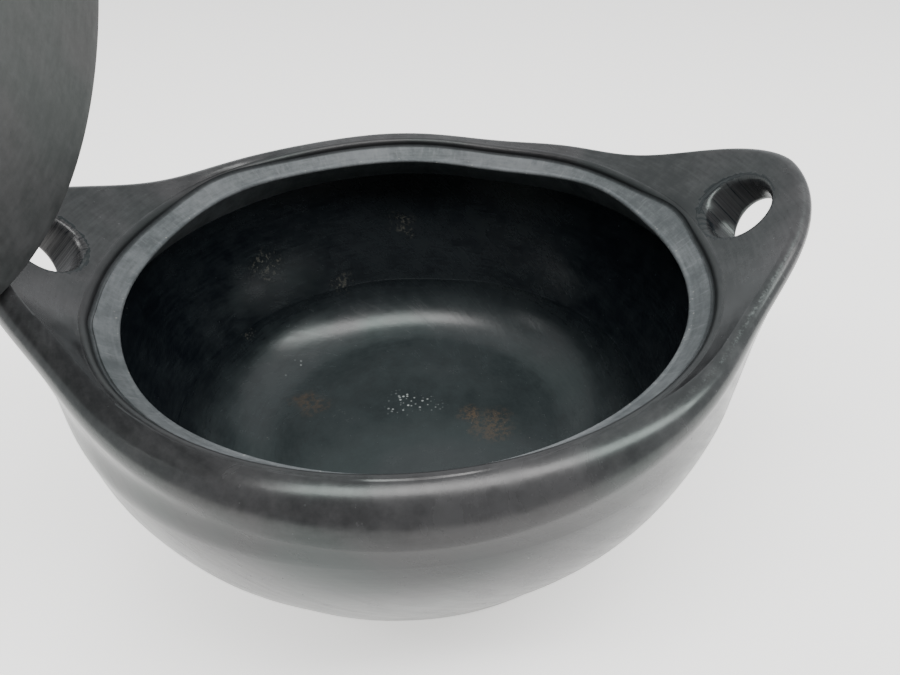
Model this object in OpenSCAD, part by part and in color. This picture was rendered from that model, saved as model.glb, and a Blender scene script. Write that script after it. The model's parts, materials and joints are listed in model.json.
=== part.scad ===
// Black clay casserole: a round-bellied cooking pot with two pierced ear handles and a
// domed lid. Hand-built members are luted together into two loose pieces, pot and lid.
// The lid is drawn tipped open over the left handle; turning it back by lid_open_angle
// about the tipping axis brings it down onto its seat.

/* [Pot body] */
// Radius of the flat that the pot stands on
foot_r = 85; // [80:1:90]
// Radius of the rounding from the flat up into the flank
foot_round = 36.7; // [34:0.1:39]
// Largest outside radius of the belly
belly_r = 148.5; // [146:0.5:150]
// Height of the largest radius
belly_z = 108; // [106:0.5:110]
// Radius of the belly's curve, seen from the side
belly_round = 118; // [112:1:122]
// Lean of the flank from the vertical, in degrees
flank_lean = 27.5; // [26:0.1:29]
// Thickness of the wall
wall_t = 8.5; // [7:0.5:10]
// Radius of the flat floor inside
floor_r = 75; // [72:1:78]
// Radius of the rounding from the floor up into the wall
floor_round = 44.7; // [42:0.1:47]
// Height of the join between the pressed bowl and the coiled wall
bowl_join_z = 43; // [36:1:48]
// Height at which the rim coils start
rim_join_z = 104; // [102:0.5:105]

/* [Rim] */
// Radius of the mouth
mouth_r = 125; // [122:0.5:127]
// Height of the mouth's edge
mouth_z = 118.5; // [117:0.5:120]
// Slope of the lid seat, in degrees
seat_slope = 39; // [34:1:42]
// Radius of the step that surrounds the lid seat
step_r = 134; // [133:0.5:136]
// Height of the lip
lip_z = 129.2; // [128:0.1:131]
// Rounding of the lip's outer edge
lip_round = 8.5; // [7:0.5:9]

/* [Handles] */
// Distance of a handle's tip from the pot's axis
ear_reach = 174; // [170:1:178]
// Height of a handle's tip
ear_z = 161.5; // [156:0.5:166]
// Half width of a handle in plan, in degrees round the pot
ear_spread = 24; // [20:1:27]
// Half width of a handle's rise, in degrees round the pot
ear_rise_spread = 28.6; // [24:0.2:32]
// Rounding of a handle's edge at its tip
ear_round = 6; // [5:0.5:7]
// Radius of a finger hole
finger_r = 17; // [15:0.5:18.5]
// Distance of a finger hole's centre from the pot's axis
finger_x = 154; // [152:0.5:156]
// Height of a finger hole's centre
finger_z = 141.6; // [139:0.1:144]

/* [Lid] */
// Radius of the lid
lid_r = 131; // [129:0.5:131.5]
// Height of the upright band round the lid's edge
lid_band = 5; // [4:0.5:7]
// Rise of the lid's top over its edge
lid_rise = 14; // [10:1:18]
// Hollow of the lid's underside
lid_hollow = 16.5; // [11:0.5:18]
// Gap between the lid and its seat
seat_gap = 0.4; // [0.3:0.1:1]
// Largest radius of the knob
knob_r = 19; // [15:1:24]
// Height of the knob
knob_h = 27; // [22:1:32]
// Angle that the lid is tipped open, in degrees
lid_open_angle = 84; // [0:1:84]

/* [Hidden] */
$fn = 180;

// Straight pieces per curve, round a handle's edge and along a handle
curve_steps = 12;
edge_steps = 8;
ear_steps = 36;

// Axis that the lid tips about: a point on it, its compass direction and its dip
tip_point = [-153, -20.8, 128.4];
tip_azimuth = -82.7;
tip_dip = 12.9;
tip_axis = [cos(tip_dip) * cos(tip_azimuth), cos(tip_dip) * sin(tip_azimuth), -sin(tip_dip)];

// Outlines are lists of points in the (radius, height) plane
function on_circle(centre, r, a) = centre + r * [cos(a), sin(a)];
function arc(centre, r, a0, a1, n = curve_steps) =
    [for (i = [0 : n]) on_circle(centre, r, a0 + (a1 - a0) * i / n)];
function reversed(points) = [for (i = [len(points) - 1 : -1 : 0]) points[i]];
function mix(a, b, t) = a + (b - a) * t;
// A curve that leaves a towards k and arrives at b
function bend(a, k, b, t) = mix(mix(a, k, t), mix(k, b, t), t);

// The pot's side, set inwards by d: a flat, a rounding, the flank and the belly
belly_centre = [belly_r - belly_round, belly_z];
function side(d, flat_r, rounding) = concat(
    arc([flat_r, d + rounding], rounding, -90, -flank_lean),
    arc(belly_centre, belly_round - d, -flank_lean, 0)
);
outer_side = side(0, foot_r, foot_round);
inner_side = side(wall_t, floor_r, floor_round);

// The point where an outline crosses height z, and the stretches below or between heights
function cut_at(points, z) = [
    for (i = [0 : len(points) - 2])
        if (points[i][1] <= z && points[i + 1][1] > z)
            mix(points[i], points[i + 1], (z - points[i][1]) / (points[i + 1][1] - points[i][1]))
][0];
function below(points, z) = concat([for (p = points) if (p[1] < z) p], [cut_at(points, z)]);
function between(points, z0, z1) = concat(
    [cut_at(points, z0)],
    [for (p = points) if (p[1] > z0 && p[1] < z1) p],
    [cut_at(points, z1)]
);

// The lid seat: a slope that starts behind the mouth's rounded edge and ends in a hollow
// at the foot of the step
seat_rise = tan(seat_slope);
mouth_edge = 1.3;
step_hollow = 1.4;
seat_start = [mouth_r + mouth_edge, mouth_z + 0.8];
seat_end = seat_start + (step_r - step_hollow - seat_start[0]) * [1, seat_rise];
seat_coil_z = rim_join_z + 4;
seat_outline = [
    [step_r, seat_coil_z], [step_r, seat_end[1] + step_hollow], seat_end, seat_start,
    [mouth_r + 0.2, mouth_z], [mouth_r + 0.5, mouth_z - 3]
];

// The lip: up the last of the belly, over the rounded top and back to the step
lip_centre = [belly_r + 0.5 - lip_round, lip_z - lip_round];
lip_outline = concat(
    [cut_at(outer_side, rim_join_z), [belly_r, belly_z]],
    arc(lip_centre, lip_round, 0, 90),
    [[step_r + 1.4, lip_z - 0.3], [step_r + 0.5, lip_z - 0.8], [step_r, lip_z - 2]]
);

// A handle's rim swells out and up round the pot. ear_share is 1 at the tip and dies away
// with the angle a; a small power gives a pointed top, a large one a broad one
ear_end = 54;
plan_power = 2.3;
rise_power = 1.6;
root_r = belly_r - 0.5;
root_round = 3.5;
function ear_share(a, spread, power) = exp(-pow(abs(a) / spread, power));
function plan_share(a) = ear_share(a, ear_spread, plan_power);
function ear_edge(a) = mix(root_round, ear_round, plan_share(a));
function ear_centre(a) = [
    mix(root_r, ear_reach, plan_share(a)) - ear_edge(a),
    mix(lip_centre[1], ear_z, ear_share(a, ear_rise_spread, rise_power)) - ear_edge(a)
];

// A handle's section: from inside the lip up the dished top, round the edge and back
// under to the belly
edge_from = 132;
edge_to = -40;
top_points = 4;
under_points = 5;
ear_foot = [belly_r - 1, rim_join_z + 1];
ear_core = [step_r + 4, lip_z - 6];
ear_top_start = [step_r + 7.5, lip_z - 0.3];
function ear_under(a) = ear_foot + [0.5, 3] + plan_share(a) * [7, 13];
function ear_section(a) = concat(
    [ear_foot, ear_core],
    [for (i = [0 : top_points - 1])
        mix(ear_top_start, on_circle(ear_centre(a), ear_edge(a), edge_from), i / top_points)],
    arc(ear_centre(a), ear_edge(a), edge_from, edge_to, edge_steps),
    [for (i = [1 : under_points])
        bend(on_circle(ear_centre(a), ear_edge(a), edge_to), ear_under(a), ear_foot,
             i / (under_points + 1))]
);
ear_points = len(ear_section(0));

// The finger hole goes square through the steep face of the handle
finger_slope = atan2(ear_z - ear_top_start[1], ear_reach - 2 - ear_top_start[0]);
finger_run = 35;

// The lid in its seat: its bevelled underside lies along the slope
bevel_w = 4.6;
edge_ease = 0.8;
lid_edge_z = seat_start[1] + (lid_r - seat_start[0]) * seat_rise + seat_gap / cos(seat_slope);
lid_under = [lid_r - bevel_w, lid_edge_z - bevel_w * seat_rise];
lid_shoulder = [lid_r - 3.5, lid_edge_z + lid_band + 3];
lid_outline = concat(
    dome([0, lid_under[1] + lid_hollow], lid_under),
    [
        [lid_r - edge_ease, lid_edge_z - edge_ease * seat_rise], [lid_r, lid_edge_z + edge_ease],
        [lid_r, lid_edge_z + lid_band], [lid_r - 1, lid_edge_z + lid_band + 1.8]
    ],
    reversed(dome([0, lid_shoulder[1] + lid_rise], lid_shoulder))
);

// A dome's outline from its crown on the axis to its edge
function dome_ball(crown, edge) =
    (pow(edge[0], 2) + pow(crown[1] - edge[1], 2)) / (2 * (crown[1] - edge[1]));
function dome(crown, edge) =
    let (ball = dome_ball(crown, edge))
        arc(crown - [0, ball], ball, 90, 90 - asin(edge[0] / ball));

// The knob: a waisted stem and a rounded head, its foot sunk in the dome until trimmed
knob_round = 7;
knob_outline = concat(
    [[0, -2], [knob_r * 0.82, -2], [knob_r * 0.74, 0.6], [knob_r * 0.63, 4], [knob_r * 0.61, 8]],
    arc([knob_r - knob_round, knob_h - knob_round - 2], knob_round, -50, 70, edge_steps),
    [[0, knob_h]]
);

module turned(outline) {
    rotate_extrude()
        polygon(outline);
}

// Everything within the pot's outer skin; the handles are trimmed to it
module pot_core() {
    turned(concat([[0, 0]], below(outer_side, rim_join_z), lip_outline, [[0, lip_z - 2]]));
}

// Puts the right-hand (+1) or left-hand (-1) copy of what is drawn on the +X side
module on_side(hand) {
    rotate([0, 0, hand > 0 ? 0 : 180])
        children();
}

module finger_hole() {
    translate([finger_x, 0, finger_z])
        rotate([0, -finger_slope, 0])
            cylinder(r = finger_r, h = 2 * finger_run, center = true);
}

// The ear: its section swept round the rim from one end to the other
module ear_blank() {
    angles = [for (i = [0 : ear_steps]) -ear_end + 2 * ear_end * i / ear_steps];
    rings = [for (a = angles) for (p = ear_section(a)) [p[0] * cos(a), p[0] * sin(a), p[1]]];
    skin = [
        for (i = [0 : ear_steps - 1])
            for (j = [0 : ear_points - 1])
                let (k = (j + 1) % ear_points, near = i * ear_points, far = near + ear_points)
                    for (f = [[near + j, near + k, far + k], [near + j, far + k, far + j]]) f
    ];
    near_cap = [for (j = [ear_points - 1 : -1 : 0]) j];
    far_cap = [for (j = [0 : ear_points - 1]) ear_steps * ear_points + j];
    polyhedron(points = rings, faces = concat(skin, [near_cap, far_cap]));
}

module ear() {
    difference() {
        ear_blank();
        pot_core();
        finger_hole();
    }
}

module tipped_open() {
    translate(tip_point)
        rotate(a = lid_open_angle, v = tip_axis)
            translate(-tip_point)
                children();
}

module base_bowl() {
    color("#2b2d2e")
        turned(concat(
            [[0, 0]], below(outer_side, bowl_join_z),
            reversed(below(inner_side, bowl_join_z)), [[0, wall_t]]
        ));
}

module upper_wall() {
    color("#303233")
        turned(concat(
            between(outer_side, bowl_join_z, rim_join_z),
            reversed(between(inner_side, bowl_join_z, rim_join_z))
        ));
}

module lid_seat_ring() {
    color("#4a4c4d")
        turned(seat_outline);
}

module rim_lip() {
    color("#3a3c3d")
        difference() {
            turned(concat(lip_outline, [[step_r, seat_coil_z], cut_at(inner_side, rim_join_z)]));
            on_side(1) finger_hole();
            on_side(-1) finger_hole();
        }
}

module left_handle() {
    color("#444647")
        on_side(-1) ear();
}

module right_handle() {
    color("#444647")
        on_side(1) ear();
}

module lid_plate() {
    color("#3f4142")
        tipped_open()
            turned(lid_outline);
}

module lid_knob() {
    color("#363839")
        tipped_open()
            difference() {
                translate([0, 0, lid_shoulder[1] + lid_rise])
                    turned(knob_outline);
                turned(lid_outline);
            }
}

base_bowl();
upper_wall();
lid_seat_ring();
rim_lip();
left_handle();
right_handle();
lid_plate();
lid_knob();
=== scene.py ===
import json
import math

import bmesh
import bpy
import numpy as np
from mathutils import Matrix, Vector
from mathutils.bvhtree import BVHTree


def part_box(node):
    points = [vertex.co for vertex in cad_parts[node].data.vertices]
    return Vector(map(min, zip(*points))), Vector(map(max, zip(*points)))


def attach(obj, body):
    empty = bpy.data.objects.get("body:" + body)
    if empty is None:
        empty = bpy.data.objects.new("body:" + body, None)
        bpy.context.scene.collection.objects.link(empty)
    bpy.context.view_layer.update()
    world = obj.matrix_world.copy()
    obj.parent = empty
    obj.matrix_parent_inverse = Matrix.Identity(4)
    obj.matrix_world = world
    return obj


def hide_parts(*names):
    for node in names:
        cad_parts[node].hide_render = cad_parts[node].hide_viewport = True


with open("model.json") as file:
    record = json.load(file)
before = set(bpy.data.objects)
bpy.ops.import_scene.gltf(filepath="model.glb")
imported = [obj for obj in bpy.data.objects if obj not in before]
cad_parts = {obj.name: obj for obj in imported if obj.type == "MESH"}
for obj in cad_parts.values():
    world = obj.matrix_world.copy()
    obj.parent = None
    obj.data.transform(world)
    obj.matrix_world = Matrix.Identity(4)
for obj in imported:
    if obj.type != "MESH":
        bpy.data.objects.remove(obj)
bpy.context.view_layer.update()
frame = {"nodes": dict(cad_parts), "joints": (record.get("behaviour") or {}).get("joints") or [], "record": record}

# Looks for a hand-built, smoke-blackened clay casserole with a lid. Every visible piece is a
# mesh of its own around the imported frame, in metres, with +Z up and +X through the right handle.

MM = 0.001

# ---------------------------------------------------------------- sizes from the frame

JOIN_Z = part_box("base_bowl")[1].z
RIM_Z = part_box("upper_wall")[1].z
STEP_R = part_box("lid_seat_ring")[1].x
LIP_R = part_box("rim_lip")[1].y
LIP_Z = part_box("rim_lip")[1].z
EAR_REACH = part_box("right_handle")[1].x
EAR_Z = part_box("right_handle")[1].z
LID_HINGE = frame["joints"][0]

# ---------------------------------------------------------------- shape of the pot's wall

FOOT_R = 85 * MM
FOOT_ROUND = 36.7 * MM
FLOOR_R = 75 * MM
FLOOR_ROUND = 44.7 * MM
FLANK_LEAN = math.radians(27.5)
BELLY_ROUND = 118 * MM
BELLY_Z = 108 * MM
BELLY_R = LIP_R - 0.5 * MM
WALL = 8.5 * MM
MOUTH_R = 125 * MM
MOUTH_Z = 118.5 * MM
MOUTH_ROUND = 1.3 * MM
SEAT_SLOPE = math.tan(math.radians(39))
SLOPE_END = 3.2 * MM
ROW = 1.6 * MM
TURN_STEPS = 480


def arc(centre, r, a0, a1, n=24):
    """Points along an arc in the (radius, height) plane, with its angles in degrees."""
    angles = np.radians(np.linspace(a0, a1, n + 1))
    return np.c_[centre[0] + r * np.cos(angles), centre[1] + r * np.sin(angles)]


def evenly(points, step):
    """The same outline with its points evenly spaced, about step apart."""
    points = np.asarray(points, float)
    run = np.r_[0, np.cumsum(np.hypot(*np.diff(points, axis=0).T))]
    at = np.linspace(0, run[-1], max(2, int(round(run[-1] / step)) + 1))
    return np.c_[np.interp(at, run, points[:, 0]), np.interp(at, run, points[:, 1])]


def side(inset):
    """The pot's side from foot to rim coils: its skin, or its inside where inset is WALL."""
    lean = math.degrees(FLANK_LEAN)
    flat_r, rounding = (FLOOR_R, FLOOR_ROUND) if inset else (FOOT_R, FOOT_ROUND)
    foot = arc((flat_r, inset + rounding), rounding, -90, -lean, 60)
    belly = arc((BELLY_R - BELLY_ROUND, BELLY_Z), BELLY_ROUND - inset, -lean, 6, 60)
    return np.vstack([foot, belly])


def side_between(inset, z0, z1):
    """The stretch of the pot's side between two heights."""
    outline = side(inset)
    r0, r1 = (np.interp(z, outline[:, 1], outline[:, 0]) for z in (z0, z1))
    inner = outline[(outline[:, 1] > z0 + 0.1 * MM) & (outline[:, 1] < z1 - 0.1 * MM)]
    return evenly(np.vstack([[r0, z0], inner, [r1, z1]]), ROW)


# ---------------------------------------------------------------- hand-made unevenness

def bump(theta, centre, width):
    """1 at an angle centre, fading to 0 over width; angles in degrees round the pot."""
    away = (np.degrees(theta) - centre + 180) % 360 - 180
    return np.exp(-(away / width) ** 2)


def settle(z, low, high):
    """0 below low, 1 above high, and smooth between."""
    t = np.clip((z - low) / (high - low), 0, 1)
    return t * t * (3 - 2 * t)


def rim_sag(theta):
    """How far the whole rim sags between the handles at the back."""
    return 3.1 * MM * bump(theta, 64, 16)


def edge_drop(theta):
    """How far the rim's outer edge lies below its even curve: the handles' far shoulders."""
    behind = 4.9 * bump(theta, 29, 15) + 4.6 * bump(theta, 153, 17) - 0.7 * bump(theta, 93, 14)
    return MM * (behind + 2.8 * bump(theta, -30, 14))


def edge_inset(theta):
    """How far the handles' near shoulders are pinched in."""
    return MM * (2.2 * bump(theta, -30, 13) + 1.5 * bump(theta, -153, 14))


def join_drift(theta):
    """How far the join between bowl and wall lies below its mean height."""
    wobble = 0.5 * np.cos(4 * theta + 1) + 0.25 * np.cos(9 * theta)
    return MM * (4.4 * bump(theta, 90, 62) - 2.2 * bump(theta, -178, 26) + wobble)


def uneven(r, z, theta):
    """Moves a point of the pot's skin as the potter's hands left it."""
    slide = join_drift(theta) * np.exp(-((z - JOIN_Z) / (11 * MM)) ** 2)
    r, z = r - slide * math.tan(FLANK_LEAN), z - slide
    swell = 0.35 * np.cos(2 * theta + 0.7) + 0.25 * np.cos(3 * theta - 1.1)
    ripple = 0.16 * np.cos(5 * theta + 90 * z) + 0.10 * np.cos(9 * theta - 140 * z + 2)
    body = settle(z, 0, 30 * MM) * (1 - settle(z, 95 * MM, 110 * MM))
    bulge = 2.7 * bump(theta, -134, 36) * settle(z, 5 * MM, 35 * MM)
    bulge = bulge * (1 - settle(z, 104 * MM, 120 * MM))
    r = r + MM * ((swell + ripple) * body + bulge)
    z = z - rim_sag(theta) * settle(z, 60 * MM, 118 * MM)
    return r, z


# ---------------------------------------------------------------- mesh building

def mesh_object(name, verts, faces, crease_shade=None, wear_and_highlight=None):
    """An object from points and faces, with how sheltered each point is, for painted shade in its creases, and how
    far it is rubbed pale, partly a painted highlight.
    """
    mesh = bpy.data.meshes.new(name)
    mesh.from_pydata([tuple(v) for v in verts], [], faces)
    for layer_name, values in (("crease_shade", crease_shade), ("wear_and_highlight", wear_and_highlight)):
        layer = mesh.attributes.new(layer_name, "FLOAT", "POINT")
        if values is not None:
            layer.data.foreach_set("value", np.asarray(values, np.float32))
    made_at = mesh.attributes.new("made_at", "FLOAT_VECTOR", "POINT")
    made_at.data.foreach_set("vector", np.asarray([tuple(v) for v in verts], np.float32).ravel())
    mesh.validate()
    face_outwards(mesh)
    piece = bpy.data.objects.new(name, mesh)
    bpy.context.scene.collection.objects.link(piece)
    return piece


def face_outwards(mesh):
    """Turns a closed mesh the right way out."""
    shape = bmesh.new()
    shape.from_mesh(mesh)
    if shape.calc_volume(signed=True) < 0:
        bmesh.ops.reverse_faces(shape, faces=shape.faces)
        shape.to_mesh(mesh)
    shape.free()


def smooth(piece, angle=38):
    """Smooth shading that keeps the hidden joint faces from bending the light."""
    piece.data.shade_smooth()
    piece.data.set_sharp_from_angle(angle=math.radians(angle))


def ring_faces(rows, columns, wrap_rows, wrap_columns):
    """Quads between the points of a grid, stored section after section."""
    faces = []
    for i in range(rows if wrap_rows else rows - 1):
        k = (i + 1) % rows
        for j in range(columns if wrap_columns else columns - 1):
            m = (j + 1) % columns
            faces.append((i * columns + j, k * columns + j, k * columns + m, i * columns + m))
    return faces


def place(section, theta, unevenly=True):
    """Stands a section of (radius, height) points up at angle theta round the pot."""
    r, z = section[:, 0], section[:, 1]
    if unevenly:
        r, z = uneven(r, z, theta)
    return np.c_[r * math.cos(theta), r * math.sin(theta), z]


def turn_ring(name, section_at, crease_shade=None, steps=TURN_STEPS):
    """A closed ring: section_at(theta) gives each closed section, all with as many points."""
    angles = np.arange(steps) * 2 * math.pi / steps
    sections = [section_at(t) for t in angles]
    verts = np.vstack([place(s, t) for s, t in zip(sections, angles)])
    crease_shade = None if crease_shade is None else np.tile(crease_shade, steps)
    return mesh_object(name, verts, ring_faces(steps, len(sections[0]), True, True), crease_shade)


def turn_dish(name, outline, steps=TURN_STEPS, unevenly=True):
    """A closed turned body whose outline starts and ends on the axis."""
    first, last, skin = outline[0], outline[-1], outline[1:-1]
    angles = np.arange(steps) * 2 * math.pi / steps
    verts = np.vstack([place(skin, t, unevenly) for t in angles])
    n = len(skin)
    faces = ring_faces(steps, n, True, False)
    poles = len(verts)
    verts = np.vstack([verts, [0, 0, first[1]], [0, 0, last[1]]])
    for i in range(steps):
        k = (i + 1) % steps
        faces.append((poles, k * n, i * n))
        faces.append((poles + 1, i * n + n - 1, k * n + n - 1))
    return mesh_object(name, verts, faces)


def bend(start, pull, end, n):
    """A curve from start towards pull and on to end, without its first point."""
    t = np.linspace(0, 1, n + 1)[1:, None]
    start, pull, end = map(np.asarray, (start, pull, end))
    return (1 - t) ** 2 * start + 2 * t * (1 - t) * pull + t * t * end


# ---------------------------------------------------------------- pot pieces

def make_bowl():
    """The pressed bowl: flat foot, flank and the dished floor up to its join."""
    outer = side_between(0, 0, JOIN_Z)
    inner = side_between(WALL, WALL, JOIN_Z)[::-1]
    inner[:, 0] -= 0.8 * MM * np.exp(-(JOIN_Z - inner[:, 1]) / (2.5 * MM))
    under = np.c_[np.linspace(0, outer[0][0], 16)[:-1], np.zeros(15)]
    floor_r = np.linspace(inner[-1][0], 0, 30)[1:]
    floor = np.c_[floor_r, np.full(29, WALL)]
    return turn_dish("base_bowl.clay", np.vstack([under, outer, inner, floor]))


def make_wall():
    """The coiled wall from the join to the rim coils."""
    outer = side_between(0, JOIN_Z, RIM_Z)
    inner = side_between(WALL, JOIN_Z, RIM_Z)[::-1]
    return turn_ring("upper_wall.clay", lambda theta: np.vstack([outer, inner]))


def seat_shift(theta):
    """How far the mouth and the step stray from round."""
    mouth = 2.6 * bump(theta, 136, 20) + 2.4 * bump(theta, 32, 14) + 1.4 * bump(theta, -135, 14)
    step = 3.2 * bump(theta, 137, 14) + 2.6 * bump(theta, 10, 9) + 0.8 * bump(theta, -163, 4)
    return mouth * MM, step * MM


def seat_z(r):
    """Height of the ledge's slope at radius r."""
    return MOUTH_Z + 0.8 * MM + (r - MOUTH_R - MOUTH_ROUND) * SEAT_SLOPE


def seat_section(theta):
    """The ledge that the lid sits on, from the step's foot to under the mouth."""
    mouth, step = seat_shift(theta)
    edge_r, step_r = MOUTH_R + mouth, STEP_R + step
    slope_to = step_r - SLOPE_END
    hollow = arc((step_r - 3.0 * MM, seat_z(slope_to) + 3.4 * MM), 3.1 * MM, -2, -50, 8)
    slope_r = np.linspace(hollow[-1][0] - 0.6 * MM, edge_r + 1.6 * MM, 12)
    slope = np.c_[slope_r, seat_z(slope_r) + 0.25 * MM * np.linspace(1, 0, 12)]
    edge_z = seat_z(edge_r + 1.6 * MM)
    lip = arc((edge_r + MOUTH_ROUND, edge_z - 1.35 * MM), MOUTH_ROUND, 100, 235, 9)
    inner_r = np.interp(RIM_Z, *side(WALL)[:, ::-1].T)
    under = bend(lip[-1], (edge_r + 4 * MM, edge_z - 7 * MM), (inner_r, RIM_Z), 12)
    back = np.array([[step_r + 2.5 * MM, RIM_Z + 8 * MM]])
    return np.vstack([hollow, slope, lip, under, back])


def seat_crease_shade():
    """Painted shade in the hollow at the step's foot, fading to none on the ledge, which the lid rubs."""
    return np.interp(np.arange(len(seat_section(0.0))), (0, 5, 10), (1.0, 0.8, 0.0))


# ---------------------------------------------------------------- rim and handles

HALF_TURN = TURN_STEPS // 2
EAR_HALF_ANGLE = 56
EAR_STEPS = int(round(EAR_HALF_ANGLE * TURN_STEPS / 360))
EAR_PLAN = 0.42
EAR_RISE = 0.50
STEP_ROUND = 3.0 * MM
LIP_ROUND = 8.5 * MM
TOP_START = STEP_R + STEP_ROUND
FLAT_Z = LIP_Z - 0.15 * MM
TOP_TURN = 134.0 * MM
TOP_SOFT = 16.0 * MM
SPLIT_R = 141.0 * MM


def off_handle(theta):
    """The angle from the nearer handle's middle."""
    return abs((theta + math.pi / 2) % math.pi - math.pi / 2)


def front_tuck(theta):
    """How far the front of the lip leans in over the lid's ledge."""
    return 1.8 * MM * bump(theta, -88, 34)


def edge_round(theta):
    """Rounding of the rim's outer edge: full at the front, tight round the handles."""
    right = math.exp(-(abs(math.remainder(theta, 2 * math.pi)) / 0.95) ** 4)
    left = math.exp(-(abs(math.remainder(theta - math.pi, 2 * math.pi)) / 0.95) ** 4)
    return LIP_ROUND + (8.0 * bump(theta, -90, 34) - 4.2 * right - 1.8 * left) * MM


def top_rise(r):
    """How the rim's top takes up its rise, from its inner edge outwards."""
    return TOP_SOFT * (np.logaddexp(0, (r - TOP_TURN) / TOP_SOFT)
                       - math.log1p(math.exp((TOP_START - TOP_TURN) / TOP_SOFT)))


def rim_edge(theta):
    """Centre, radius and end angles of the round outer edge of the rim."""
    a = off_handle(theta)
    plan = math.exp(-(a / EAR_PLAN) ** 2.3)
    rise = math.exp(-(a / EAR_RISE) ** 1.6)
    rounding = edge_round(theta)
    centre_r = LIP_R + (EAR_REACH - LIP_R) * plan - edge_inset(theta) - rounding
    centre_z = LIP_Z + (EAR_Z - LIP_Z) * rise - edge_drop(theta) - rounding
    slope, first_r = 0.0, TOP_START + 1.5 * MM - front_tuck(theta)
    for _ in range(6):
        start_r = max(centre_r - rounding * math.sin(slope), first_r)
        start_z = centre_z + rounding * math.cos(slope)
        steep = (start_z - FLAT_Z) / (start_r - TOP_TURN + TOP_SOFT)
        slope = 0.5 * slope + 0.5 * math.atan(steep)
    reach = (first_r - centre_r) / rounding
    start = min(90 + math.degrees(slope), math.degrees(math.acos(max(-1.0, min(1.0, reach)))))
    return (centre_r, centre_z), rounding, start, -40 * min(1.0, 1.6 * rise), plan


def top_line(edge_start, n):
    """The rim's top from its inner edge, flat over the lip and then up the handle's face."""
    r = np.linspace(TOP_START, max(edge_start[0], TOP_START + 0.4 * MM), n + 1)
    rise = top_rise(r)
    return np.c_[r, FLAT_Z + (edge_start[1] - FLAT_Z) * rise / rise[-1]][:-1]


INNER_POINTS, TOP_POINTS, EDGE_POINTS, FLANK_POINTS = 8, 34, 24, 26


def rim_skin(theta):
    """The visible skin of the rim from the step's foot over the edge to the rim join."""
    centre, rounding, start, stop, plan = rim_edge(theta)
    step = seat_shift(theta)[1] - front_tuck(theta)
    step_r = STEP_R + step
    foot_z = seat_z(step_r - SLOPE_END) - 1.2 * MM
    corner = arc((step_r + STEP_ROUND, FLAT_Z - STEP_ROUND), STEP_ROUND, 180, 94,
                 INNER_POINTS - 2)
    inner = np.vstack([[[step_r, foot_z]], corner])
    edge = arc(centre, rounding, start, stop, EDGE_POINTS - 1)
    top = top_line(edge[0], TOP_POINTS)
    top[:, 0] += step * (1 - settle(top[:, 0], STEP_R, SPLIT_R))
    join = (np.interp(RIM_Z, *side(0)[:, ::-1].T), RIM_Z)
    pull = (BELLY_R + 9 * MM * plan, BELLY_Z + 12 * MM * plan)
    flank = bend(edge[-1], pull, join, FLANK_POINTS)
    return np.vstack([inner, top, edge, flank])


SPLIT = INNER_POINTS + 6
LUTED_POINTS = 10


def hidden_line(start, end, n):
    """Where a handle and the lip are luted together: points after start, up to end."""
    return np.linspace(start, end, n + 1)[1:]


def lip_section(theta, behind_ear):
    """The lip's closed section; behind a handle its outer side is the luted face."""
    skin = rim_skin(theta)
    if behind_ear:
        skin[SPLIT + 1:] = hidden_line(skin[SPLIT], skin[-1], len(skin) - SPLIT - 1)
    inner_r = np.interp(RIM_Z, *side(WALL)[:, ::-1].T)
    back = [[inner_r, RIM_Z], [skin[0][0] + 2.5 * MM, RIM_Z + 8 * MM]]
    return np.vstack([skin, back])


def ear_section(theta):
    """A handle's closed section: its skin and its luted face."""
    skin = rim_skin(theta)[SPLIT:]
    return np.vstack([skin, hidden_line(skin[-1], skin[0], LUTED_POINTS)[:-1]])


def rim_angle(i):
    """The angle round the pot of column i."""
    return 2 * math.pi * i / TURN_STEPS


def rim_columns():
    """Every column of the lip, as its angle and whether a handle covers it."""
    columns = []
    for i in range(TURN_STEPS):
        away = min(i % HALF_TURN, HALF_TURN - i % HALF_TURN)
        entering = i % HALF_TURN > HALF_TURN / 2
        covered = [away < EAR_STEPS]
        if away == EAR_STEPS:
            covered = [False, True] if entering else [True, False]
        columns += [(rim_angle(i), behind_ear) for behind_ear in covered]
    return columns


def make_lip():
    """The rounded lip, one ring, with the luted faces behind both handles."""
    columns = rim_columns()
    verts = np.vstack([place(lip_section(t, hidden), t) for t, hidden in columns])
    n = len(verts) // len(columns)
    # Painted shade on the lip's inner points, in the step's corner.
    shelter = np.interp(np.arange(n), (0, 2, INNER_POINTS), (1.0, 1.0, 0.0))
    crease_shade = np.tile(shelter, len(columns))
    lip = mesh_object("rim_lip.clay", verts, ring_faces(len(columns), n, True, True), crease_shade)
    weld(lip)
    return lip


def make_ear(name, middle):
    """One handle, swept round the rim between its two ends."""
    angles = [rim_angle(middle + i) for i in range(-EAR_STEPS, EAR_STEPS + 1)]
    verts = np.vstack([place(ear_section(t), t) for t in angles])
    n = len(verts) // len(angles)
    faces = ring_faces(len(angles), n, False, True)
    faces.append(tuple(range(n)))
    faces.append(tuple(range(len(verts) - 1, len(verts) - n - 1, -1)))
    return mesh_object(name, verts, faces, wear_and_highlight=ear_wear_and_highlight(angles, n))


def ear_wear_and_highlight(angles, n):
    """How pale each point of a handle is made, partly rubbed wear and partly a painted highlight: most along its
    upper outer edge.
    """
    edge_start = INNER_POINTS + TOP_POINTS - SPLIT
    across = np.exp(-((np.arange(n) - edge_start - 5) / 2.4) ** 2)
    along = [0.25 + 0.65 * bump(t, -32, 22) + 0.2 * bump(t, 180, 40) for t in angles]
    return np.outer(along, across).ravel()


def weld(piece):
    """Joins points that coincide and drops the faces that this leaves empty."""
    shape = bmesh.new()
    shape.from_mesh(piece.data)
    bmesh.ops.remove_doubles(shape, verts=shape.verts, dist=1e-6)
    bmesh.ops.dissolve_degenerate(shape, edges=shape.edges, dist=1e-6)
    shape.to_mesh(piece.data)
    shape.free()


# ---------------------------------------------------------------- finger holes

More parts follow.
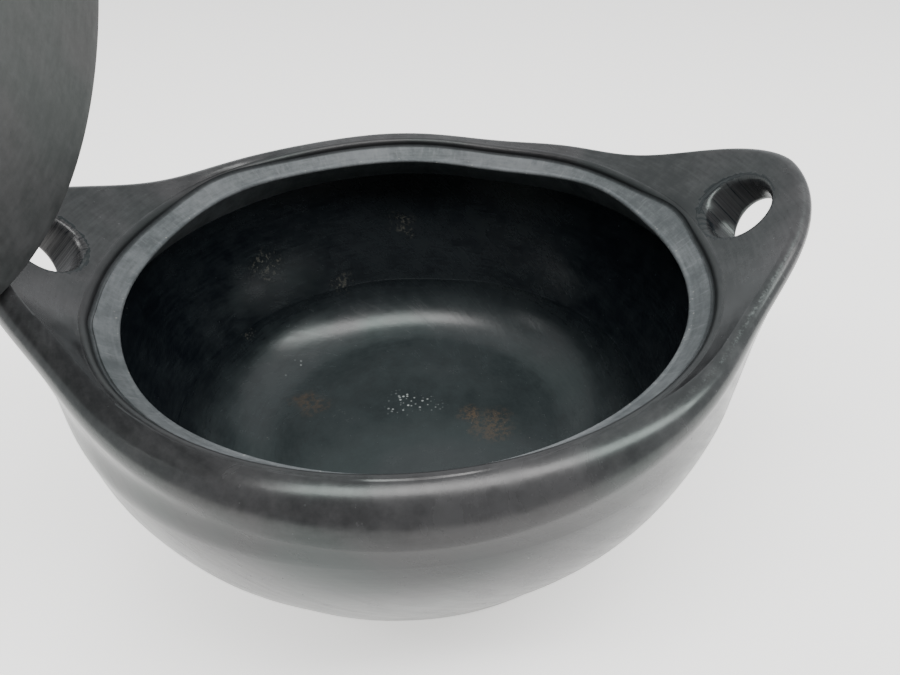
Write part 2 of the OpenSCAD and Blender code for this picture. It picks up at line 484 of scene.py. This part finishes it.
# The visible holes lie where the photo shows them, a few millimetres off the frame's. Lengths
# that multiply a hole's axis are in millimetres.
HOLE_R = 15.3 * MM
HOLE_SLOPE = math.radians(46.9)
HOLE_UP = 6
PROBE_REACH = 60
HOLE_TILT = {1: 0.56, -1: 0.2}
TOP_EASE = 4.4 * MM
UNDER_EASE = 2.0 * MM
HOLE_STEPS = 120
HOLE_DRIFT = {1: -6.0 * MM, -1: 4 * MM}
HOLE_SINK = {1: 3.5 * MM, -1: 0.0}
HOLE_NARROW = 0.92


def hole_frame(side_sign):
    """Centre of a finger hole, its axis, and two directions across it."""
    name = "right_finger_hole" if side_sign > 0 else "left_finger_hole"
    opening = next(o for o in frame["record"]["physics"]["openings"] if o["name"] == name)
    low, high = (Vector(c) for c in opening["box_m"])
    sine, cosine = math.sin(HOLE_SLOPE), math.cos(HOLE_SLOPE)
    axis = Vector((-side_sign * sine, HOLE_TILT[side_sign], cosine)).normalized()
    across = axis.cross(Vector((side_sign * cosine, 0, sine))).normalized()
    along = axis.cross(across)
    centre = (low + high) / 2 + axis * HOLE_UP * MM
    centre = centre + across * HOLE_DRIFT[side_sign] + along * HOLE_SINK[side_sign]
    return centre, axis, across, along


def face_height(skin, probe, axis, centre, sense):
    """How far along the hole's axis a face of the handle lies over or under a point."""
    start = probe + axis * sense * PROBE_REACH * MM
    hit = skin.ray_cast(start, -axis * sense, 2 * PROBE_REACH * MM)[0]
    return (hit - centre).dot(axis) if hit else sense * 8 * MM


def hole_cutter(side_sign, skin):
    """A plug that flares to meet the skin at both of the handle's faces."""
    centre, axis, across, along = hole_frame(side_sign)
    bends = np.radians(np.linspace(0, 72, 9))
    top_flare, under_flare = ([(ease * (1 - math.cos(b)), ease * math.sin(b)) for b in bends]
                              for ease in (TOP_EASE, UNDER_EASE))
    rings = []
    for i in range(HOLE_STEPS):
        turn = 2 * math.pi * i / HOLE_STEPS
        out = across * math.cos(turn) + along * math.sin(turn) * HOLE_NARROW
        r = HOLE_R + 0.3 * MM * math.sin(3 * turn + 1)
        top = face_height(skin, centre + out * (r + top_flare[-1][0]), axis, centre, 1)
        under = face_height(skin, centre + out * (r + under_flare[-1][0]), axis, centre, -1)
        top_bend, under_bend = top - top_flare[-1][1], under + under_flare[-1][1]
        wide, narrow = r + top_flare[-1][0] + 0.5 * MM, r + under_flare[-1][0] + 0.5 * MM
        line = [(wide, top + 30 * MM), (wide, top + 0.15 * MM)]
        line += [(r + w, top_bend + h) for w, h in top_flare[::-1]]
        line += [(r, top_bend + (under_bend - top_bend) * t) for t in (0.25, 0.5, 0.75)]
        line += [(r + w, under_bend - h) for w, h in under_flare]
        line += [(narrow, under - 0.15 * MM), (narrow, under - 30 * MM)]
        rings.append([centre + out * reach + axis * h for reach, h in line])
    n = len(rings[0])
    verts = [v for ring in rings for v in ring] + [centre + axis * 45 * MM, centre - axis * 60 * MM]
    faces = ring_faces(HOLE_STEPS, n, True, False)
    top_pole, under_pole = len(verts) - 2, len(verts) - 1
    for i in range(HOLE_STEPS):
        k = (i + 1) % HOLE_STEPS
        faces.append((top_pole, k * n, i * n))
        faces.append((under_pole, i * n + n - 1, k * n + n - 1))
    return mesh_object("finger_plug", verts, faces)


def rim_skin_tree():
    """The whole rim as one surface, to find its faces with."""
    angles = [rim_angle(i) for i in range(TURN_STEPS)]
    verts = np.vstack([place(rim_skin(t), t) for t in angles])
    n = len(verts) // len(angles)
    faces = ring_faces(len(angles), n, True, False)
    return BVHTree.FromPolygons([Vector(v) for v in verts], faces)


def cut(piece, *cutters):
    """Takes the cutters out of a piece for good."""
    for cutter in cutters:
        knife = piece.modifiers.new("hole", "BOOLEAN")
        knife.operation = "DIFFERENCE"
        knife.solver = "EXACT"
        knife.object = cutter
    bpy.context.view_layer.update()
    depsgraph = bpy.context.evaluated_depsgraph_get()
    mesh = bpy.data.meshes.new_from_object(piece.evaluated_get(depsgraph))
    piece.modifiers.clear()
    piece.data = mesh


# ---------------------------------------------------------------- lid

def seating():
    """The turn that brings the lid from its open rest down onto its seat."""
    pivot = Matrix.Translation(Vector(LID_HINGE["pos_m"]))
    turn = Matrix.Rotation(math.radians(LID_HINGE["range_deg"][1]), 4, Vector(LID_HINGE["axis"]))
    return pivot @ turn @ pivot.inverted()


SEATED = seating()


def seated_points(node):
    """Radius and height of a lid node's points when the lid is on its seat."""
    points = [SEATED @ v.co for v in frame["nodes"][node].data.vertices]
    return np.array([(math.hypot(p.x, p.y), p.z) for p in points])


def lid_outline():
    """The lid's section, from the middle of its hollow underside round to its crown."""
    cad = seated_points("lid_plate")
    lid_r = cad[:, 0].max()
    band = cad[cad[:, 0] > lid_r - 0.05 * MM]
    band_low, band_high = band[:, 1].min(), band[:, 1].max()
    middle = cad[cad[:, 0] < 1 * MM]
    crown, hollow = middle[:, 1].max(), middle[:, 1].min()
    bevel = 4.6 * MM
    bevel_z = band_low - 0.3 * MM - bevel * SEAT_SLOPE
    under = dome((0, hollow), (lid_r - bevel - 1.2 * MM, bevel_z + 0.1 * MM), 44)
    edge = evenly([(lid_r - bevel, bevel_z), (lid_r - 1.2 * MM, band_low - 0.45 * MM),
                   (lid_r - 0.25 * MM, band_low + 0.7 * MM), (lid_r, band_low + 1.6 * MM),
                   (lid_r, band_high - 0.6 * MM), (lid_r - 0.7 * MM, band_high + 1.2 * MM),
                   (lid_r - 2.0 * MM, band_high + 2.4 * MM)], 0.6 * MM)
    top = dome((0, crown), (lid_r - 3.6 * MM, band_high + 3 * MM), 44)[::-1]
    return np.vstack([under, soften(edge), top])


def soften(outline, rounds=2):
    """Rounds an open outline's corners a little, keeping its ends."""
    for _ in range(rounds):
        outline[1:-1] = (outline[:-2] + 2 * outline[1:-1] + outline[2:]) / 4
    return outline


def dome(crown, edge, n):
    """A round dome's outline from its crown on the axis to its edge."""
    rise = crown[1] - edge[1]
    ball = (edge[0] ** 2 + rise ** 2) / (2 * rise)
    return arc((0, crown[1] - ball), ball, 90, 90 - math.degrees(math.asin(edge[0] / ball)), n)


def knob_outline():
    """The knob's section: a waisted stem under a rounded head."""
    cad = seated_points("lid_knob")
    head_r, low, high = cad[:, 0].max(), cad[:, 1].min(), cad[:, 1].max()
    tall = high - low
    head = arc((head_r - 7 * MM, high - 9 * MM), 7 * MM, -55, 75, 26)
    stem = bend((head_r * 0.86, low - 0.3 * MM), (head_r * 0.56, low + 0.12 * tall),
                (head_r * 0.60, low + 0.36 * tall), 16)
    neck = bend(stem[-1], (head_r * 0.62, head[0][1] - 0.4 * MM), head[0], 8)
    crown = bend(head[-1], (head_r * 0.5, high - 1.6 * MM), (0, high - 0.7 * MM), 20)
    under = np.c_[np.linspace(0, head_r * 0.86, 12), np.full(12, low - 0.3 * MM)]
    return np.vstack([under, stem, neck[:-1], head, crown])


def open_lid(piece):
    """Tips a piece drawn on its seat back to where the lid is at rest."""
    piece.data.transform(SEATED.inverted())
    return piece


# ---------------------------------------------------------------- materials

class Graph:
    """A short way to write the nodes of a material or a world."""

    def __init__(self, owner, shader="Principled BSDF"):
        owner.use_nodes = True
        self.nodes, self.links = owner.node_tree.nodes, owner.node_tree.links
        self.shader = self.nodes[shader]

    def node(self, kind, settings=None, **inputs):
        made = self.nodes.new(kind)
        for key, value in (settings or {}).items():
            setattr(made, key, value)
        for key, value in inputs.items():
            self.feed(made.inputs[key.replace("_", " ")], value)
        return made

    def feed(self, socket, value):
        if isinstance(value, bpy.types.NodeSocket):
            self.links.new(value, socket)
        else:
            socket.default_value = value

    def math(self, operation, *values):
        made = self.nodes.new("ShaderNodeMath")
        made.operation = operation
        for socket, value in zip(made.inputs, values):
            self.feed(socket, value)
        return made.outputs[0]

    def mul(self, a, b):
        return self.math("MULTIPLY", a, b)

    def add(self, first, *others):
        for other in others:
            first = self.math("ADD", first, other)
        return first

    def ramp(self, value, low, high, out_low=0.0, out_high=1.0):
        made = self.nodes.new("ShaderNodeMapRange")
        made.interpolation_type = "SMOOTHSTEP"
        for socket, item in zip(made.inputs, (value, low, high, out_low, out_high)):
            self.feed(socket, item)
        return made.outputs[0]

    def blend(self, factor, a, b):
        made = self.nodes.new("ShaderNodeMix")
        made.data_type = "RGBA"
        colours = [s for s in made.inputs if s.type == "RGBA"]
        self.feed(made.inputs[0], factor)
        self.feed(colours[0], a)
        self.feed(colours[1], b)
        return next(s for s in made.outputs if s.type == "RGBA")

    def vector(self, x, y, z):
        made = self.nodes.new("ShaderNodeCombineXYZ")
        for socket, value in zip(made.inputs, (x, y, z)):
            self.feed(socket, value)
        return made.outputs[0]

    def noise(self, where, scale, detail=4.0, rough=0.55):
        made = self.nodes.new("ShaderNodeTexNoise")
        self.feed(made.inputs["Vector"], where)
        made.inputs["Scale"].default_value = scale
        made.inputs["Detail"].default_value = detail
        made.inputs["Roughness"].default_value = rough
        return made.outputs["Fac"]


def round_space(g):
    """Where a point was made, with the lid on its seat, and its place round the pot's axis."""
    where = g.node("ShaderNodeAttribute", {"attribute_name": "made_at"}).outputs["Vector"]
    parts = g.node("ShaderNodeSeparateXYZ", Vector=where).outputs
    x, y, z = parts[0], parts[1], parts[2]
    radius = g.math("SQRT", g.math("ADD", g.math("MULTIPLY", x, x), g.math("MULTIPLY", y, y)))
    safe = g.math("MAXIMUM", radius, 0.002)
    return where, g.math("DIVIDE", x, safe), g.math("DIVIDE", y, safe), radius, z


def blot(g, where, centre, size, ragged):
    """1 round a point of the surface, fading out raggedly; sizes in millimetres."""
    away = g.node("ShaderNodeVectorMath", {"operation": "DISTANCE"})
    g.feed(away.inputs[0], where)
    g.feed(away.inputs[1], [c * MM for c in centre])
    reach = g.add(away.outputs["Value"], g.mul(g.math("SUBTRACT", ragged, 0.5), 1.6 * size * MM))
    return g.ramp(reach, 0.3 * size * MM, size * MM, 1.0, 0.0)


def blots(g, where, places, ragged):
    return g.add(*[blot(g, where, centre, size, ragged) for centre, size in places], 0.0)


def grains(g, where, scale, size, rarity):
    """Scattered grains, about size cells across; rarity from 0, everywhere, to 1, nowhere."""
    cells = g.node("ShaderNodeTexVoronoi", Vector=where, Scale=scale)
    tint = g.node("ShaderNodeSeparateColor", Color=cells.outputs["Color"]).outputs[0]
    chosen = g.math("GREATER_THAN", tint, rarity)
    return g.mul(chosen, g.ramp(cells.outputs["Distance"], 0.3 * size, size, 1.0, 0.0))


LIME = (((-8, 26, 8.5), 13), ((7, 22, 8.5), 9), ((-72, 64, 14), 3.5), ((-79, 52, 13), 3))
STAINS = (((-64, 33, 10), 13), ((41, 2, 8.5), 17), ((30, 12, 8.5), 9))
RESIDUE = (((-88, 101, 66), 13), ((-95, 62, 40), 8), ((-44, 112, 41), 9), ((0, 134, 72), 12))


def clay(name, dark, pale, rough, strokes, inside=False, ledge=False, painted_shade_below=False):
    """Smoke-blackened clay rubbed with a stone: mottled, finely stroked and pitted."""
    material = bpy.data.materials.new(name)
    g = Graph(material)
    where, ux, uy, radius, z = round_space(g)
    # Painted shade: how sheltered each point is.
    crease_shade = g.node("ShaderNodeAttribute", {"attribute_name": "crease_shade"}).outputs["Fac"]
    wear_and_highlight = g.node("ShaderNodeAttribute", {"attribute_name": "wear_and_highlight"}).outputs["Fac"]
    run = g.add(g.mul(z, 520.0), g.mul(radius, 520.0))
    stroke_a = g.noise(g.vector(g.mul(ux, 9.0), g.mul(uy, 9.0), run), 1.0)
    slant = g.add(g.mul(run, 0.35), g.mul(ux, 26.0))
    stroke_b = g.noise(g.vector(g.mul(uy, 5.0), slant, g.mul(ux, 5.0)), 1.0)
    over_wall = g.ramp(radius, 0.03, 0.11, 0.1, 1.0)
    stroke_a, stroke_b = (g.add(g.mul(g.add(stroke, -0.5), over_wall), 0.5)
                          for stroke in (stroke_a, stroke_b))
    clouds = g.noise(where, 11.0, 3.0)
    mottle = g.noise(where, 90.0, 6.0, 0.65)
    fine = g.noise(where, 420.0, 5.0, 0.7)
    grain = g.noise(where, 1500.0, 3.0)
    pit = grains(g, where, 260.0, 0.13, 0.72)

    tone = g.add(g.mul(clouds, 0.45), g.mul(mottle, 0.35), g.mul(fine, 0.2),
                 g.mul(g.math("SUBTRACT", stroke_a, 0.5), strokes))
    colour = g.blend(g.ramp(tone, 0.36, 0.64), dark, pale)
    # Painted shade: the rim's flank below its outer edge is darkened to the body's tone, as the dark band under
    # the lip.
    if painted_shade_below:
        colour = g.blend(g.ramp(z, 0.104, 0.124, 1.0, 0.0), colour, (0.007, 0.009, 0.011, 1.0))
    # Pale edges on the handles: partly rubbed wear, partly a painted highlight.
    thin = g.mul(wear_and_highlight, g.mul(wear_and_highlight, wear_and_highlight))
    rubbed_and_highlight = g.mul(thin, g.ramp(g.add(g.mul(grain, 0.3), g.mul(fine, 0.3), g.mul(clouds, 0.4)),
                                0.44, 0.58))
    colour = g.blend(g.mul(rubbed_and_highlight, 0.8), colour, (0.19, 0.22, 0.21, 1.0))
    if ledge:
        scuffs = g.noise(g.vector(g.mul(ux, 70.0), g.mul(uy, 70.0), g.mul(radius, 150.0)), 1.0)
        colour = g.blend(g.ramp(scuffs, 0.5, 0.8, 0.0, 0.4), colour, (0.200, 0.208, 0.212, 1.0))
        crumbs = grains(g, where, 520.0, 0.30, 0.80)
        crumbs = g.mul(crumbs, g.ramp(radius, 0.1262, 0.1285, 1.0, 0.0))
        colour = g.blend(g.mul(crumbs, 0.6), colour, (0.35, 0.35, 0.32, 1.0))
    if inside:
        # Painted light: lighter towards the bottom, for the lit floor inside and the pale floor reflected in the
        # lower belly.
        painted_light_low_down = g.mul(g.ramp(z, 0.010, 0.045, 1.0, 0.0), g.ramp(tone, 0.3, 0.7, 0.5, 0.9))
        colour = g.blend(painted_light_low_down, colour, (0.036, 0.045, 0.046, 1.0))
        stain = g.mul(blots(g, where, STAINS, mottle), g.ramp(fine, 0.40, 0.62))
        colour = g.blend(g.mul(stain, 0.6), colour, (0.090, 0.062, 0.040, 1.0))
        crust = g.mul(blots(g, where, RESIDUE, mottle), g.ramp(fine, 0.52, 0.62))
        colour = g.blend(g.mul(crust, 0.45), colour, (0.13, 0.125, 0.10, 1.0))
        lime = g.mul(blots(g, where, LIME, mottle), grains(g, where, 430.0, 0.42, 0.45))
        colour = g.blend(g.math("MINIMUM", lime, 1.0), colour, (0.42, 0.45, 0.44, 1.0))
    dust = grains(g, where, 130.0, 0.045, 0.86)
    colour = g.blend(g.mul(dust, 0.5), colour, (0.30, 0.29, 0.26, 1.0))
    # Painted shade: sheltered creases darkened nearly to black.
    colour = g.blend(g.mul(crease_shade, 0.85), colour, (0.004, 0.004, 0.005, 1.0))
    g.feed(g.shader.inputs["Base Color"], colour)

    g.shader.inputs["Specular IOR Level"].default_value = 0.2 if ledge else 0.42
    sheen = g.blend(g.ramp(clouds, 0.42, 0.60), (0.85, 1.0, 0.94, 1.0), (1.0, 0.98, 0.97, 1.0))
    g.feed(g.shader.inputs["Specular Tint"], sheen)
    gloss = g.ramp(g.add(g.mul(mottle, 0.3), g.mul(stroke_b, 0.35), g.mul(clouds, 0.35)),
                   0.34, 0.66, rough - 0.05, rough + 0.06)
    g.feed(g.shader.inputs["Roughness"], g.add(gloss, g.mul(crease_shade, 0.25), g.mul(pit, 0.1)))
    height = g.add(g.mul(stroke_a, 0.45), g.mul(stroke_b, 0.7), g.mul(grain, 0.10),
                   g.mul(fine, 0.12), g.mul(mottle, 0.35), g.mul(pit, -0.5))
    dent = g.node("ShaderNodeBump", Height=height, Strength=0.3, Distance=0.00020)
    g.feed(g.shader.inputs["Normal"], dent.outputs["Normal"])
    return material


def dress(piece, body, node, material):
    """Shades a piece, lets it ride on its body and stand for its CAD node."""
    smooth(piece)
    piece.data.materials.clear()
    piece.data.materials.append(material)
    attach(piece, body)
    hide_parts(node)


# ---------------------------------------------------------------- stage, light, camera

def pale_cloth():
    """A pale floor with a little light of its own, as a thin cloth over a bright table has."""
    material = bpy.data.materials.new("pale floor")
    g = Graph(material)
    where = g.node("ShaderNodeTexCoord").outputs["Object"]
    g.feed(g.shader.inputs["Base Color"],
           g.blend(g.noise(where, 6.0), (0.82, 0.815, 0.80, 1.0), (0.80, 0.795, 0.785, 1.0)))
    g.shader.inputs["Roughness"].default_value = 0.6
    g.shader.inputs["Emission Color"].default_value = (1.0, 0.98, 0.95, 1.0)
    g.shader.inputs["Emission Strength"].default_value = 1.0
    return material


def make_floor():
    size = 6.0
    corners = [(-size, -size, 0), (size, -size, 0), (size, size, 0), (-size, size, 0)]
    floor = mesh_object("floor", corners, [(0, 1, 2, 3)])
    floor.data.materials.append(pale_cloth())


def soft_light(name, at, towards, size, power):
    data = bpy.data.lights.new(name, "AREA")
    data.shape = "RECTANGLE"
    data.size, data.size_y = size
    data.energy = power
    lamp = bpy.data.objects.new(name, data)
    lamp.location = at
    lamp.rotation_euler = (Vector(towards) - Vector(at)).to_track_quat("-Z", "Y").to_euler()
    bpy.context.scene.collection.objects.link(lamp)


ROOM_BRIGHT = 0.9
ROOM_DIM = 0.10
DIM_SIDE = (0.0, -0.90, 0.43)
CEILING_AT = (0.0, -0.34, 1.45)
CEILING_SIZE = (4.2, 0.42)
CEILING_POWER = 64
LIGHT_AIM = (0.0, 0, 0.1)


def make_room():
    """An even room with one dim side, where the person with the camera stands."""
    world = bpy.data.worlds.new("room")
    g = Graph(world, "Background")
    where = g.node("ShaderNodeTexCoord").outputs["Generated"]
    facing = g.node("ShaderNodeVectorMath", {"operation": "DOT_PRODUCT"})
    g.feed(facing.inputs[0], where)
    g.feed(facing.inputs[1], DIM_SIDE)
    g.feed(g.shader.inputs["Strength"],
           g.ramp(facing.outputs["Value"], 0.5, 0.85, ROOM_BRIGHT, ROOM_DIM))
    g.shader.inputs["Color"].default_value = (0.95, 0.975, 1.0, 1.0)
    bpy.context.scene.world = world


def make_lights():
    make_room()
    soft_light("ceiling", CEILING_AT, LIGHT_AIM, CEILING_SIZE, CEILING_POWER)


CAMERA_AT = (-2.4, -264.4, 278.6)
CAMERA_PITCH = 0.654
CAMERA_TURN = 0.08
CAMERA_ROLL = -0.0225
CAMERA_LENS = 26.4


def make_camera():
    """Seen from close in front of the pot, tipped down and a little turned; at in millimetres."""
    at = Vector(CAMERA_AT) * MM
    pitch, turn, roll = CAMERA_PITCH, CAMERA_TURN, CAMERA_ROLL
    level = math.cos(pitch)
    forward = Vector((math.sin(turn) * level, math.cos(turn) * level, -math.sin(pitch)))
    right = Vector((math.cos(turn), -math.sin(turn), 0))
    up = right.cross(forward)
    right, up = (right * math.cos(roll) + up * math.sin(roll),
                 up * math.cos(roll) - right * math.sin(roll))
    data = bpy.data.cameras.new("camera")
    data.sensor_width = 36
    data.lens = CAMERA_LENS
    data.clip_start = 0.01
    camera = bpy.data.objects.new("camera", data)
    axes = Matrix((right, up, -forward)).transposed().to_4x4()
    camera.matrix_world = Matrix.Translation(at) @ axes
    bpy.context.scene.collection.objects.link(camera)
    bpy.context.scene.camera = camera


# ---------------------------------------------------------------- build

def build():
    body_clay = clay("body clay", (0.003, 0.004, 0.006, 1), (0.010, 0.013, 0.015, 1), 0.24, 0.35,
                     inside=True)
    ledge_clay = clay("ledge clay", (0.070, 0.077, 0.080, 1), (0.150, 0.160, 0.165, 1), 0.6, 0.2,
                      ledge=True)
    rim_clay = clay("rim clay", (0.020, 0.020, 0.021, 1), (0.046, 0.046, 0.047, 1), 0.24, 0.25,
                    painted_shade_below=True)
    lid_clay = clay("lid clay", (0.027, 0.028, 0.028, 1), (0.056, 0.057, 0.057, 1), 0.44, 0.3)

    lip = make_lip()
    left, right = make_ear("left_handle.clay", HALF_TURN), make_ear("right_handle.clay", 0)
    tree = rim_skin_tree()
    right_plug, left_plug = hole_cutter(1, tree), hole_cutter(-1, tree)
    cut(lip, right_plug, left_plug)
    cut(left, left_plug)
    cut(right, right_plug)
    for plug in (right_plug, left_plug):
        bpy.data.objects.remove(plug)

    dress(make_bowl(), "pot", "base_bowl", body_clay)
    dress(make_wall(), "pot", "upper_wall", body_clay)
    seat = turn_ring("lid_seat_ring.clay", seat_section, seat_crease_shade())
    dress(seat, "pot", "lid_seat_ring", ledge_clay)
    dress(lip, "pot", "rim_lip", rim_clay)
    dress(left, "pot", "left_handle", rim_clay)
    dress(right, "pot", "right_handle", rim_clay)
    plate = open_lid(turn_dish("lid_plate.clay", lid_outline(), unevenly=False))
    dress(plate, "lid", "lid_plate", lid_clay)
    knob = open_lid(turn_dish("lid_knob.clay", knob_outline(), 120, unevenly=False))
    dress(knob, "lid", "lid_knob", lid_clay)


build()
make_floor()
make_lights()
make_camera()
